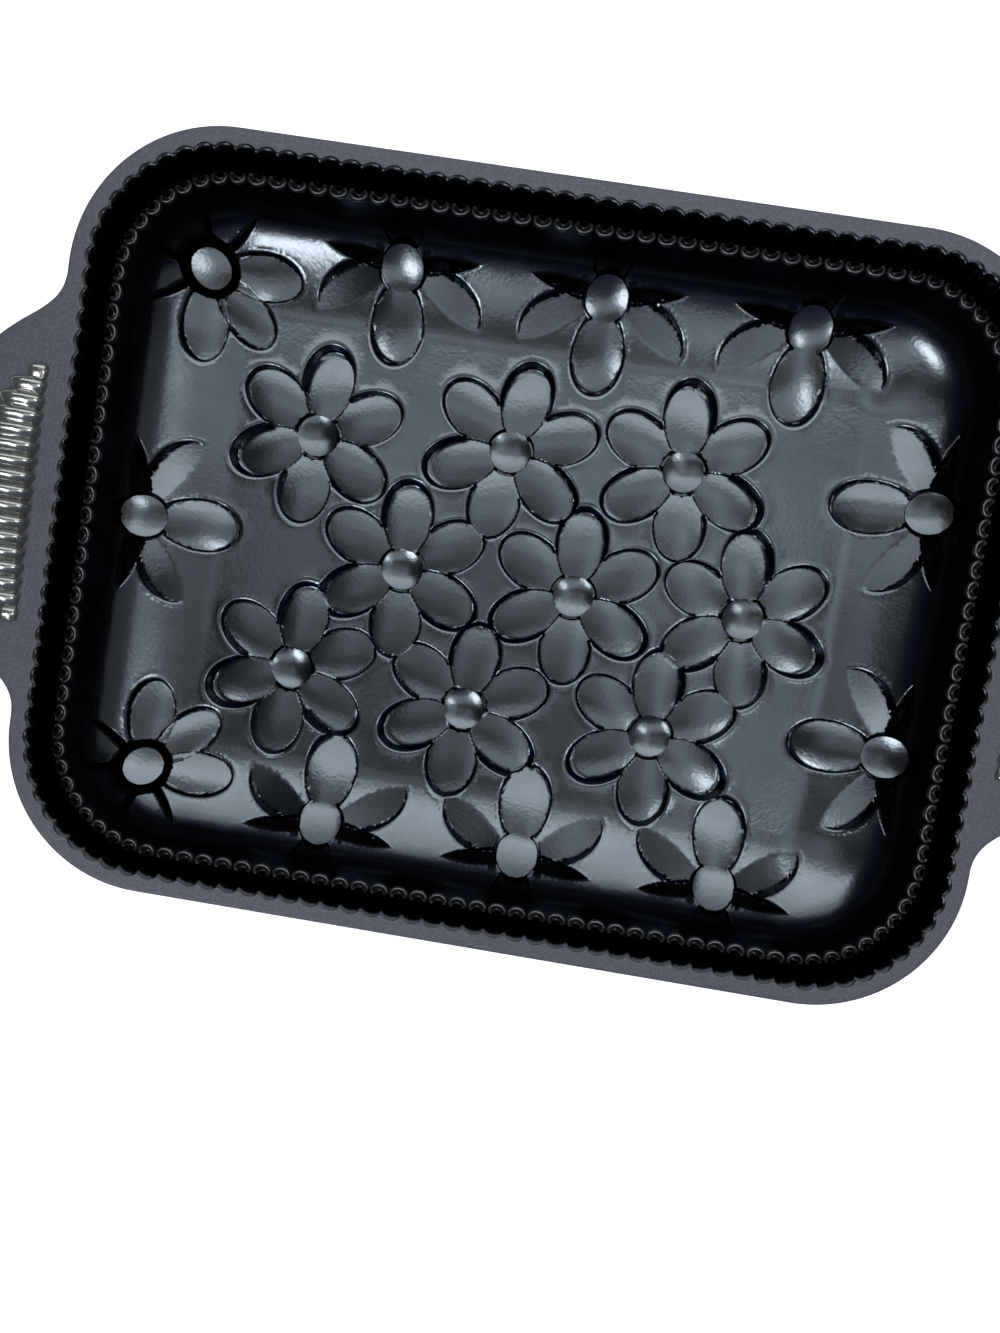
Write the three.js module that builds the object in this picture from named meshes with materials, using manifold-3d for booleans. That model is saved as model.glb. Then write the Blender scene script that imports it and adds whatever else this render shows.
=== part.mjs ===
// Rectangular flower cake pan: a tub with daisies sunk in its floor, whose border slopes up to the
// wall, a fluted border under the rim and an ear handle with a ribbed grip at each end.
// Millimetres, +Z up, +X along the pan towards the right-hand handle.
// The origin is the centre of the footprint, on the surface that the pan stands on.
import * as THREE from "three";
import { mergeVertices } from "three/addons/utils/BufferGeometryUtils.js";
import Module from "manifold-3d";

const wasm = await Module();
wasm.setup();

// Driving dimensions: rim and tub
const RIM_LENGTH = 323;
const RIM_WIDTH = 254;
const RIM_CORNER = 50;
const RIM_THICKNESS = 4;
const RIM_STRIP = 2.8;
const INNER_DEPTH = 50;
const WALL_THICKNESS = 3.5;
const WALL_DRAFT_DEG = 10;
const BASE_ROUND = 14;
const SOCKET_FLOOR = 4;

// Driving dimensions: the floor's sloping border, as three arcs between the flat panel and the wall
const CREASE_ROUND = 25;
const SLOPE_FOOT_DEG = 13;
const SLOPE_ROUND = 84;
const SLOPE_TOP_DEG = 28;
const FOOT_ROUND = 18;

// Driving dimensions: fluted border
const FLUTE_PITCH = 7;
const FLUTE_DEPTH = 1.6;
const FLUTE_EDGE_INSET = 5.8;
const BORDER_HEIGHT = 18;
const BORDER_LIP_INSET = 9.2;
const BEAD_HEIGHT = 5.5;
const BEAD_NECK_DEPTH = 0.8;

// Driving dimensions: daisies
const FLOWER_RADIUS = 35;
const PETAL_LENGTH = 32.2;
const PETAL_WIDTH = 20.8;
const CORNER_PETAL_WIDTH = 17.5;
const PETAL_EGG = 0.08;
const PETAL_DRAFT_DEG = 8;
const DEEP_PETAL = 5.5;
const SHALLOW_PETAL = 2.4;
const CORNER_PETAL = 3.6;
const PILLOW = 1.5;
const WEDGE_WIDTH = 10;
const WEDGE_DEPTH = 4.5;
const WEDGE_TURN_DEG = 98;
const CORNER_WEDGE_TURN_DEG = 88;
const NOTCH_DEPTH = 1;
const SOCKET_WALL_GAP = 2;
const BUTTON_RADIUS = 7.75;
const BUTTON_DEPTH = 3.6;
const EDGE_BUTTON_DEPTH = 1.5;
const BUTTON_DISH = 1.5;
const BUTTON_ROOT = 3;
const SLOT_WIDTH = 0.9;
const SLOT_DEPTH = 1.2;

// Driving dimensions: handles and grips
const HANDLE_REACH = 34;
const HANDLE_SHOULDER_GAP = 3;
const HANDLE_TIP = 34;
const GRIP_LENGTH = 86;
const GRIP_REACH = 22;
const GRIP_SETBACK = 1.5;
const GRIP_HEIGHT = 5;
const RIB_PITCH = 5.2;
const RIB_DEPTH = 1.1;

// Daisy places, read off the floor in plan: the edge daisies follow the walls, the rest fill the field
const EDGE_INSET_ENDS = 19;
const EDGE_INSET_SIDES = 23;
const EDGE_ROW_X = [-60.5, 15, 89.5];
const RIGHT_END_Y = [45, -45];
const LEFT_END_Y = [0];
const CORNER_INSET_ENDS = 30.5;
const CORNER_INSET_SIDES = 33;
const FIELD_DAISIES = [
  { x: -85, y: 40.5, turn: 25 },
  { x: -11.5, y: 45.5, turn: 21 },
  { x: 54, y: 48, turn: 34 },
  { x: -45.5, y: -4.5, turn: 32 },
  { x: 20.5, y: -4.5, turn: 30 },
  { x: 85, y: -3, turn: 36 },
  { x: -82, y: -48.5, turn: 24 },
  { x: -14, y: -53.5, turn: 26 },
  { x: 58, y: -52.5, turn: 31 },
];

// Facet counts
const CORNER_STEPS = 9;
const FLUTE_STEPS = 3;
const FILLET_STEPS = 4;
const CREASE_STEPS = 2;
const SLOPE_STEPS = 3;
const FOOT_STEPS = 5;
const PETAL_POINTS = 10;
const BUTTON_POINTS = 10;
const GRIP_ARCH_POINTS = 6;
const RIB_STEPS = 4;

// Levels and angles that follow from the sizes above
const CUT_MARGIN = 2;
const SMALLEST_CORNER = 2;
const WEDGE_LIFT = 0.8;
const radians = THREE.MathUtils.degToRad;
const FLOOR_Z = SOCKET_FLOOR + DEEP_PETAL;
const RIM_TOP_Z = FLOOR_Z + INNER_DEPTH;
const RIM_UNDER_Z = RIM_TOP_Z - RIM_THICKNESS;
const LIP_Z = RIM_TOP_Z - BORDER_HEIGHT;

// The sloping border in section: run and rise from the flat panel's edge out and up to the wall
function borderCurve() {
  const arcs = [
    { radius: CREASE_ROUND, from: 0, to: SLOPE_FOOT_DEG, steps: CREASE_STEPS },
    { radius: SLOPE_ROUND, from: SLOPE_FOOT_DEG, to: SLOPE_TOP_DEG, steps: SLOPE_STEPS },
    { radius: FOOT_ROUND, from: SLOPE_TOP_DEG, to: 90 - WALL_DRAFT_DEG, steps: FOOT_STEPS },
  ];
  const points = [{ run: 0, rise: 0 }];
  for (const { radius, from, to, steps } of arcs) {
    const start = points[points.length - 1];
    const first = radians(from);
    for (let i = 1; i <= steps; i += 1) {
      const tilt = radians(from + ((to - from) * i) / steps);
      const run = start.run + radius * (Math.sin(tilt) - Math.sin(first));
      const rise = start.rise + radius * (Math.cos(first) - Math.cos(tilt));
      points.push({ run, rise });
    }
  }
  return points;
}

const BORDER_CURVE = borderCurve();
const BORDER_END = BORDER_CURVE[BORDER_CURVE.length - 1];
const SPRING_Z = FLOOR_Z + BORDER_END.rise;
const FOOT_SEAM_Z = SPRING_Z + 1;
const wallInset = (z) => BORDER_LIP_INSET + (LIP_Z - z) * Math.tan(radians(WALL_DRAFT_DEG));
const PANEL_INSET = wallInset(SPRING_Z) + BORDER_END.run;

// The fluted edge as a path of eight pieces, from the middle of the right-hand end round to it again
const STRAIGHT_X = RIM_LENGTH - 2 * RIM_CORNER;
const STRAIGHT_Y = RIM_WIDTH - 2 * RIM_CORNER;
const EDGE_CORNER = RIM_CORNER - FLUTE_EDGE_INSET;
const EDGE_ARC = (Math.PI / 2) * EDGE_CORNER;
const EDGE_PATH = [
  { length: EDGE_ARC, centre: [STRAIGHT_X / 2, STRAIGHT_Y / 2], start: 0 },
  { length: STRAIGHT_X, centre: [STRAIGHT_X / 2, STRAIGHT_Y / 2], facing: 90 },
  { length: EDGE_ARC, centre: [-STRAIGHT_X / 2, STRAIGHT_Y / 2], start: 90 },
  { length: STRAIGHT_Y, centre: [-STRAIGHT_X / 2, STRAIGHT_Y / 2], facing: 180 },
  { length: EDGE_ARC, centre: [-STRAIGHT_X / 2, -STRAIGHT_Y / 2], start: 180 },
  { length: STRAIGHT_X, centre: [-STRAIGHT_X / 2, -STRAIGHT_Y / 2], facing: 270 },
  { length: EDGE_ARC, centre: [STRAIGHT_X / 2, -STRAIGHT_Y / 2], start: 270 },
  { length: STRAIGHT_Y, centre: [STRAIGHT_X / 2, -STRAIGHT_Y / 2], facing: 0 },
];
const EDGE_LENGTH = EDGE_PATH.reduce((sum, piece) => sum + piece.length, 0);

// A point this far along the fluted edge, moved square to it until it has the inset from the rim's edge
function rimPoint(distance, inset) {
  let rest = distance;
  let index = 0;
  while (rest > EDGE_PATH[index].length && index < EDGE_PATH.length - 1) {
    rest -= EDGE_PATH[index].length;
    index += 1;
  }
  const { centre, start, facing } = EDGE_PATH[index];
  const curved = facing === undefined;
  const angle = curved ? radians(start) + rest / EDGE_CORNER : radians(facing);
  const slide = curved ? 0 : rest;
  const radius = Math.max(RIM_CORNER - inset, SMALLEST_CORNER);
  const shift = inset + radius - RIM_CORNER;
  const x = centre[0] - shift * Math.sign(centre[0]) + radius * Math.cos(angle) - slide * Math.sin(angle);
  const y = centre[1] - shift * Math.sign(centre[1]) + radius * Math.sin(angle) + slide * Math.cos(angle);
  return [x, y];
}

// Places round the rim: the corner facets alone, or evenly spaced steps of the flutes
function smoothPlaces() {
  const places = [];
  let start = 0;
  for (const piece of EDGE_PATH) {
    const steps = piece.facing === undefined ? CORNER_STEPS : 1;
    for (let i = 0; i < steps; i += 1) places.push(start + (piece.length * i) / steps);
    start += piece.length;
  }
  return places;
}

const SMOOTH_PLACES = smoothPlaces();
const FLUTE_COUNT = 4 * Math.round(EDGE_LENGTH / FLUTE_PITCH / 4);
const FLUTE_PLACES = Array.from(
  { length: FLUTE_COUNT * FLUTE_STEPS },
  (_, i) => (EDGE_LENGTH * i) / (FLUTE_COUNT * FLUTE_STEPS),
);

// One level loop inside the rim's edge; the inset may vary from step to step
function rimLoop(places, z, insetAt) {
  return places.map((place, i) => [...rimPoint(place, insetAt(i)), z]);
}

function smoothLoop(inset, z) {
  return rimLoop(SMOOTH_PLACES, z, () => inset);
}

// A closed body through loops of equal count, closed at both ends by a fan to a tip
function loft(loops, firstTip = 0, lastTip = 0) {
  const count = loops[0].length;
  const positions = loops.flat(2);
  const faces = [];
  for (let row = 0; row + 1 < loops.length; row += 1) {
    for (let i = 0; i < count; i += 1) {
      const next = (i + 1) % count;
      const a = row * count + i;
      const b = row * count + next;
      faces.push(a, b, b + count, a, b + count, a + count);
    }
  }
  const tip = (loop, lift) => {
    const sum = loop.reduce((s, p) => [s[0] + p[0], s[1] + p[1], s[2] + p[2]], [0, 0, 0]);
    positions.push(sum[0] / count, sum[1] / count, sum[2] / count + lift);
    return positions.length / 3 - 1;
  };
  const first = tip(loops[0], firstTip);
  const last = tip(loops[loops.length - 1], lastTip);
  const lastRow = (loops.length - 1) * count;
  for (let i = 0; i < count; i += 1) {
    const next = (i + 1) % count;
    faces.push(first, next, i, last, lastRow + i, lastRow + next);
  }
  const geometry = new THREE.BufferGeometry();
  geometry.setAttribute("position", new THREE.Float32BufferAttribute(positions, 3));
  geometry.setIndex(faces);
  return geometry;
}

// Between three.js geometry and solids that can be joined and cut
function toSolid(geometry) {
  const bare = geometry.clone();
  bare.deleteAttribute("normal");
  bare.deleteAttribute("uv");
  const merged = mergeVertices(bare, 1e-4);
  const vertProperties = new Float32Array(merged.attributes.position.array);
  const triVerts = new Uint32Array(merged.index.array);
  return new wasm.Manifold(new wasm.Mesh({ numProp: 3, vertProperties, triVerts }));
}

function toGeometry(solid) {
  const mesh = solid.getMesh();
  const geometry = new THREE.BufferGeometry();
  geometry.setAttribute("position", new THREE.BufferAttribute(new Float32Array(mesh.vertProperties), 3));
  geometry.setIndex(new THREE.BufferAttribute(new Uint32Array(mesh.triVerts), 1));
  geometry.computeVertexNormals();
  return geometry;
}

function joinAll(solids) {
  return solids.reduce((whole, solid) => whole.add(solid));
}

// The slice of a solid between two levels
function between(solid, low, high) {
  const slab = new THREE.BoxGeometry(2 * RIM_LENGTH, 2 * RIM_WIDTH, high - low);
  slab.translate(0, 0, (low + high) / 2);
  return solid.intersect(toSolid(slab));
}

// How far a point in plan lies inside the rim's edge
function insetOf(x, y) {
  const awayX = Math.abs(x) - STRAIGHT_X / 2;
  const awayY = Math.abs(y) - STRAIGHT_Y / 2;
  const corner = Math.hypot(Math.max(awayX, 0), Math.max(awayY, 0));
  return RIM_CORNER - corner - Math.min(Math.max(awayX, awayY), 0);
}

// The height of the floor and its border before the daisies are sunk in them
function plainHeight(x, y) {
  const run = THREE.MathUtils.clamp(PANEL_INSET - insetOf(x, y), 0, BORDER_END.run);
  const i = Math.max(1, BORDER_CURVE.findIndex((point) => point.run >= run - 1e-9));
  const low = BORDER_CURVE[i - 1];
  const high = BORDER_CURVE[i];
  const share = (run - low.run) / (high.run - low.run);
  return FLOOR_Z + low.rise + share * (high.rise - low.rise);
}

// The tub's inner form below the fluted border, and the outer one with its round foot
function innerForm(topZ) {
  const loops = BORDER_CURVE.map(({ run, rise }) => smoothLoop(PANEL_INSET - run, FLOOR_Z + rise));
  loops.push(smoothLoop(wallInset(topZ), topZ));
  return toSolid(loft(loops));
}

function outerForm(topZ) {
  const loops = [];
  for (let i = 0; i <= FILLET_STEPS; i += 1) {
    const angle = (Math.PI / 2) * (i / FILLET_STEPS);
    const inset = wallInset(BASE_ROUND) - WALL_THICKNESS + BASE_ROUND * (1 - Math.sin(angle));
    loops.push(smoothLoop(inset, BASE_ROUND * (1 - Math.cos(angle))));
  }
  loops.push(smoothLoop(wallInset(topZ) - WALL_THICKNESS, topZ));
  return toSolid(loft(loops));
}

// Every daisy on the floor: its place, and the direction of its first petal
function daisyPlaces() {
  const halfX = RIM_LENGTH / 2;
  const halfY = RIM_WIDTH / 2;
  const places = FIELD_DAISIES.map((daisy) => ({ ...daisy, kind: "field" }));
  for (const side of [1, -1]) {
    const y = side * (halfY - EDGE_INSET_SIDES);
    for (const x of EDGE_ROW_X) places.push({ x, y, turn: -90 * side, kind: "edge" });
    const cornerY = side * (halfY - CORNER_INSET_SIDES);
    places.push({ x: CORNER_INSET_ENDS - halfX, y: cornerY, turn: -45 * side, kind: "corner" });
  }
  for (const y of RIGHT_END_Y) places.push({ x: halfX - EDGE_INSET_ENDS, y, turn: 180, kind: "edge" });
  for (const y of LEFT_END_Y) places.push({ x: EDGE_INSET_ENDS - halfX, y, turn: 0, kind: "edge" });
  return places;
}

// The petals of each kind of daisy, as turns from its first petal. Level petals are sockets with a
// pillow in them; towards the wall they turn into leaves, wedges and notches
const mirrored = (turn, petal) => [{ turn, ...petal }, { turn: -turn, ...petal }];
const PETALS = {
  field: [0, 120, 240].flatMap((turn) => [
    { turn, style: "level", depth: SHALLOW_PETAL },
    { turn: turn + 60, style: "level", depth: DEEP_PETAL },
  ]),
  edge: [
    { turn: 0, style: "level", depth: DEEP_PETAL },
    ...mirrored(60, { style: "leaf", depth: 0 }),
    ...mirrored(WEDGE_TURN_DEG, { style: "wedge", depth: WEDGE_DEPTH }),
    { turn: 180, style: "notch", depth: NOTCH_DEPTH },
  ],
  corner: [
    { turn: 0, style: "level", depth: CORNER_PETAL },
    ...mirrored(45, { style: "level", depth: CORNER_PETAL }),
    ...mirrored(CORNER_WEDGE_TURN_DEG, { style: "wedge", depth: WEDGE_DEPTH }),
    ...mirrored(135, { style: "notch", depth: NOTCH_DEPTH }),
    { turn: 180, style: "notch", depth: NOTCH_DEPTH },
  ],
};

// A petal's outline: an oval that is a little broader towards its outer end
function petalLoop(daisy, petal, shrink, heightAt) {
  const angle = radians(daisy.turn + petal.turn);
  const along = new THREE.Vector2(Math.cos(angle), Math.sin(angle));
  const across = new THREE.Vector2(-along.y, along.x);
  const widths = { field: PETAL_WIDTH, edge: PETAL_WIDTH, corner: CORNER_PETAL_WIDTH };
  const width = petal.style === "wedge" ? WEDGE_WIDTH : widths[daisy.kind];
  const centre = new THREE.Vector2(daisy.x, daisy.y);
  const middle = centre.clone().addScaledVector(along, FLOWER_RADIUS - PETAL_LENGTH / 2);
  const loop = [];
  for (let i = 0; i < PETAL_POINTS; i += 1) {
    const turn = (2 * Math.PI * i) / PETAL_POINTS;
    const reach = (PETAL_LENGTH / 2 - shrink) * Math.cos(turn);
    const side = (width / 2 - shrink) * (1 + PETAL_EGG * Math.cos(turn)) * Math.sin(turn);
    const axis = middle.clone().addScaledVector(along, reach);
    const point = axis.clone().addScaledVector(across, side);
    const outward = 0.5 + (0.5 * side * (petal.turn < 0 ? -1 : 1)) / (width / 2);
    loop.push([point.x, point.y, heightAt({ point, axis, middle, centre, outward })]);
  }
  return loop;
}

// The level of a petal's floor, by its style
const petalFloor = {
  level: ({ middle }, depth) => plainHeight(middle.x, middle.y) - depth,
  leaf: ({ axis }) => plainHeight(axis.x, axis.y),
  wedge: ({ point, outward }, depth) =>
    plainHeight(point.x, point.y) + WEDGE_LIFT - (depth + WEDGE_LIFT) * outward,
  notch: ({ centre }, depth) => plainHeight(centre.x, centre.y) - depth,
};

function petalSolid(daisy, petal) {
  const shrink = petal.depth * Math.tan(radians(PETAL_DRAFT_DEG));
  const floorAt = (spot) => petalFloor[petal.style](spot, petal.depth);
  const loops = [petalLoop(daisy, petal, shrink, floorAt), petalLoop(daisy, petal, 0, () => FOOT_SEAM_Z)];
  return toSolid(loft(loops, petal.style === "level" ? PILLOW : 0));
}

// The round button in the middle of a daisy: a dished disc that leans with the border
function buttonLevel(daisy) {
  const step = CUT_MARGIN;
  const leanX = (plainHeight(daisy.x + step, daisy.y) - plainHeight(daisy.x - step, daisy.y)) / (2 * step);
  const leanY = (plainHeight(daisy.x, daisy.y + step) - plainHeight(daisy.x, daisy.y - step)) / (2 * step);
  const depth = daisy.kind === "field" ? BUTTON_DEPTH : EDGE_BUTTON_DEPTH;
  const level = plainHeight(daisy.x, daisy.y) - depth;
  return (x, y) => level + leanX * (x - daisy.x) + leanY * (y - daisy.y);
}

function buttonLoop(daisy, radius, heightAt) {
  return Array.from({ length: BUTTON_POINTS }, (_, i) => {
    const turn = (2 * Math.PI * (i + 0.5)) / BUTTON_POINTS;
    const x = daisy.x + radius * Math.cos(turn);
    const y = daisy.y + radius * Math.sin(turn);
    return [x, y, heightAt(x, y)];
  });
}

function buttonSolid(daisy) {
  const top = buttonLevel(daisy);
  const root = (x, y) => top(x, y) - BUTTON_ROOT;
  const loops = [buttonLoop(daisy, BUTTON_RADIUS, root), buttonLoop(daisy, BUTTON_RADIUS, top)];
  return toSolid(loft(loops, 0, -BUTTON_DISH));
}

// The ground under a button, which the petals leave standing
function buttonGround(daisy) {
  const radius = BUTTON_RADIUS + SLOT_WIDTH / 2;
  return toSolid(loft([buttonLoop(daisy, radius, () => 0), buttonLoop(daisy, radius, () => RIM_TOP_Z)]));
}

// The clear space over a button, with the narrow slot round it
function buttonSpace(daisy) {
  const top = buttonLevel(daisy);
  const radius = BUTTON_RADIUS + SLOT_WIDTH;
  const foot = buttonLoop(daisy, radius, (x, y) => top(x, y) - SLOT_DEPTH);
  return toSolid(loft([foot, buttonLoop(daisy, radius, () => FOOT_SEAM_Z)]));
}

// The tub below the fluted border, one body before it is divided at the foot
function tubSolid() {
  const daisies = daisyPlaces();
  const topZ = LIP_Z + CUT_MARGIN;
  const petals = daisies.flatMap((daisy) => PETALS[daisy.kind].map((petal) => petalSolid(daisy, petal)));
  const socketInset = wallInset(SPRING_Z) + SOCKET_WALL_GAP;
  const socketLimit = toSolid(loft([smoothLoop(socketInset, 0), smoothLoop(socketInset, RIM_TOP_Z)]));
  const ground = joinAll(daisies.map(buttonGround));
  const spaces = joinAll(daisies.map(buttonSpace));
  const sockets = joinAll(petals).subtract(ground).add(spaces).intersect(socketLimit);
  const inside = innerForm(topZ + CUT_MARGIN).add(sockets);
  return outerForm(topZ).subtract(inside).add(joinAll(daisies.map(buttonSolid)));
}

// The border's inner form: flutes that run down from the rim and end in a row of beads
function fluteForm() {
  const slope = (BORDER_LIP_INSET - FLUTE_EDGE_INSET) / BORDER_HEIGHT;
  const cuspInset = (z) => FLUTE_EDGE_INSET + (RIM_TOP_Z - z) * slope;
  const level = (z, depth) =>
    rimLoop(FLUTE_PLACES, z, (i) => cuspInset(z) - (i % FLUTE_STEPS === 0 ? 0 : depth));
  const beadTopZ = LIP_Z + BEAD_HEIGHT;
  return toSolid(
    loft([
      level(LIP_Z - CUT_MARGIN, 0),
      level(LIP_Z, 0),
      level(LIP_Z + BEAD_HEIGHT / 2, FLUTE_DEPTH),
      level(beadTopZ, BEAD_NECK_DEPTH),
      level(beadTopZ + BEAD_HEIGHT / 2, FLUTE_DEPTH),
      level(RIM_TOP_Z + CUT_MARGIN, FLUTE_DEPTH),
    ]),
  );
}

function borderSolid() {
  const outside = loft([
    smoothLoop(BORDER_LIP_INSET - WALL_THICKNESS, LIP_Z),
    smoothLoop(RIM_STRIP, RIM_UNDER_Z),
    smoothLoop(RIM_STRIP, RIM_TOP_Z),
  ]);
  return toSolid(outside).subtract(fluteForm());
}

function flangeSolid() {
  const plate = loft([smoothLoop(0, RIM_UNDER_Z), smoothLoop(0, RIM_TOP_Z)]);
  const opening = loft([
    smoothLoop(RIM_STRIP, RIM_UNDER_Z - CUT_MARGIN),
    smoothLoop(RIM_STRIP, RIM_TOP_Z + CUT_MARGIN),
  ]);
  return toSolid(plate).subtract(toSolid(opening));
}

// An ear handle in its own frame: x runs out from the rim's edge, y along it
function handleGeometry() {
  const root = STRAIGHT_Y / 2 - HANDLE_SHOULDER_GAP;
  const tip = HANDLE_TIP / 2;
  const shoulderX = 0.36 * HANDLE_REACH;
  const shoulderY = 0.77 * root;
  const outline = new THREE.Shape();
  outline.moveTo(0, -root);
  outline.bezierCurveTo(0, -0.89 * root, 0.15 * HANDLE_REACH, -0.84 * root, shoulderX, -shoulderY);
  outline.bezierCurveTo(0.71 * HANDLE_REACH, -0.65 * root, HANDLE_REACH, -0.48 * root, HANDLE_REACH, -tip);
  outline.lineTo(HANDLE_REACH, tip);
  outline.bezierCurveTo(HANDLE_REACH, 0.48 * root, 0.71 * HANDLE_REACH, 0.65 * root, shoulderX, shoulderY);
  outline.bezierCurveTo(0.15 * HANDLE_REACH, 0.84 * root, 0, 0.89 * root, 0, root);
  return new THREE.ExtrudeGeometry(outline, { depth: RIM_THICKNESS, bevelEnabled: false, curveSegments: 7 });
}

// A ribbed grip on the handle's top face: a low half-oval dome, ribbed across its length
function gripGeometry() {
  const half = GRIP_LENGTH / 2;
  const ribs = Math.round(GRIP_LENGTH / RIB_PITCH);
  const stations = ribs * RIB_STEPS;
  const loops = [];
  for (let i = 1; i < stations; i += 1) {
    const y = (GRIP_LENGTH * i) / stations - half;
    const oval = Math.sqrt(1 - (y / half) ** 2);
    const rib = RIB_DEPTH * Math.sin((Math.PI * i) / RIB_STEPS) ** 2;
    const height = (GRIP_HEIGHT - RIB_DEPTH) * Math.sqrt(oval) + rib * oval;
    const width = GRIP_REACH * oval;
    const loop = [];
    for (let k = 0; k <= GRIP_ARCH_POINTS; k += 1) {
      const turn = (Math.PI * k) / GRIP_ARCH_POINTS;
      loop.push([GRIP_SETBACK + (width / 2) * (1 - Math.cos(turn)), y, height * Math.sin(turn)]);
    }
    loops.push(loop);
  }
  return loft(loops);
}

// Materials
function coat(color, roughness, metalness) {
  return new THREE.MeshStandardMaterial({ color, roughness, metalness });
}
const RELEASE_COAT = coat(0x2a2e31, 0.25, 0.4);
const RIM_COAT = coat(0x5b5f68, 0.55, 0.4);
const GRIP_METAL = coat(0x8d8f88, 0.3, 0.7);

// Assembly
const pan = new THREE.Group();
pan.name = "flower_cake_pan";

function place(parent, name, geometry, material) {
  const mesh = new THREE.Mesh(geometry, material);
  mesh.name = name;
  parent.add(mesh);
}

const tub = tubSolid();
place(pan, "flower_floor", toGeometry(between(tub, -CUT_MARGIN, FOOT_SEAM_Z)), RELEASE_COAT);
place(pan, "side_wall", toGeometry(between(tub, FOOT_SEAM_Z, LIP_Z)), RELEASE_COAT);
place(pan, "fluted_border", toGeometry(borderSolid()), RELEASE_COAT);
place(pan, "rim_flange", toGeometry(flangeSolid()), RIM_COAT);

for (const [side, turn] of [["right", 0], ["left", Math.PI]]) {
  const end = new THREE.Group();
  end.rotation.z = turn;
  pan.add(end);
  const handle = new THREE.Group();
  handle.position.set(RIM_LENGTH / 2, 0, RIM_UNDER_Z);
  end.add(handle);
  place(handle, `handle_${side}`, handleGeometry(), RIM_COAT);
  const grip = new THREE.Group();
  grip.position.set(RIM_LENGTH / 2, 0, RIM_TOP_Z);
  end.add(grip);
  place(grip, `grip_${side}`, gripGeometry(), GRIP_METAL);
}

export default pan;
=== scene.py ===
"""Rectangular flower cake pan, dressed: a glossy dark tub with daisy sockets, a fluted and beaded
border, a satin rim with ear handles and ribbed grips, seen from above on a white floor."""

import math
from collections import namedtuple

import bpy
import numpy as np
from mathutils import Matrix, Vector
from mathutils.geometry import delaunay_2d_cdt


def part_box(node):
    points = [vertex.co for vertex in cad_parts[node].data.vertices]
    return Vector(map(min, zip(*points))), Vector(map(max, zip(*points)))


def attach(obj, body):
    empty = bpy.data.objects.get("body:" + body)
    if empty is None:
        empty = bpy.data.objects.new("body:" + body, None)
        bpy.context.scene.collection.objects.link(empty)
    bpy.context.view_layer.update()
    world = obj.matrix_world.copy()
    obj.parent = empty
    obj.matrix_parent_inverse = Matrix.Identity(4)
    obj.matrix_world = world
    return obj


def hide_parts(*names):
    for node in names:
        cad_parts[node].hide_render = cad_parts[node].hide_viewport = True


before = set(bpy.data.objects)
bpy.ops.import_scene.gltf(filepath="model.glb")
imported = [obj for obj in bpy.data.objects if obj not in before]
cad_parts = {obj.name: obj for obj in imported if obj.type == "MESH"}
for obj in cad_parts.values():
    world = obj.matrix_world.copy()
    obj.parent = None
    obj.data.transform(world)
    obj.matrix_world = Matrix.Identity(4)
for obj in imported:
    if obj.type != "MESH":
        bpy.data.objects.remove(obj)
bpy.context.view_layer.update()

# Sizes read from the parts in model.glb, in millimetres
MM = 0.001


def box_mm(node):
    low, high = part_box(node)
    return np.array(low) / MM, np.array(high) / MM


RIM_LOW, RIM_HIGH = box_mm("rim_flange")
BORDER_LOW, BORDER_HIGH = box_mm("fluted_border")
_, EAR_HIGH = box_mm("handle_right")
GRIP_LOW, GRIP_HIGH = box_mm("grip_right")
HALF_X = RIM_HIGH[0]
HALF_Y = RIM_HIGH[1]
RIM_TOP = RIM_HIGH[2]
RIM_UNDER = RIM_LOW[2]
LIP_Z = BORDER_LOW[2]
RIM_STRIP = HALF_X - BORDER_HIGH[0]
EAR_REACH = EAR_HIGH[0] - HALF_X
EAR_ROOT = EAR_HIGH[1]
GRIP_REACH = GRIP_HIGH[0] - GRIP_LOW[0]

# The tub's own sizes, in millimetres; an arc of the sloping border is its radius, first tilt and last tilt
RIM_CORNER = 50.0
INNER_DEPTH = 50.0
FLOOR_Z = RIM_TOP - INNER_DEPTH
SOCKET_LIMIT = 6.6
WALL = 3.5
WALL_TILT = 80.0
DRAFT = math.tan(math.radians(90 - WALL_TILT))
PANEL_INSET = 46.5
BORDER_ARCS = ((25.0, 0.0, 13.0), (84.0, 13.0, 28.0), (18.0, 28.0, WALL_TILT))
BASE_ROUND = 14.0
LIP_INSET = 9.2
LINE_FADE = 6.0
SOCKET_FADE = 0.8

# Flutes and beads; a point of the bead's profile is a share of its half size and a height
FLUTE_PITCH = 7.0
FLUTE_EDGE_INSET = 5.8
FLUTE_ROUND = 4.3
FLUTE_DEPTH = 1.3
FLUTE_LENGTH = 12.0
FLUTE_TOP_ROUND = 2.4
RIDGE_ROUND = 0.15
BEAD_DROP = 14.0
BEAD_INSET = 9.75
BEAD_LEAN = 0.15
BEAD_HALF = (3.2, 2.6)
BEAD_PROFILE = (
    (0.08, -3.4), (0.3, -2.8), (0.5, -1.4), (0.6, -0.5), (0.7, -0.15), (0.82, 0.0), (0.94, -0.12),
    (1.03, -0.45), (1.08, -1.0), (1.04, -1.8), (0.85, -3.0), (0.3, -3.8),
)

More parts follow.
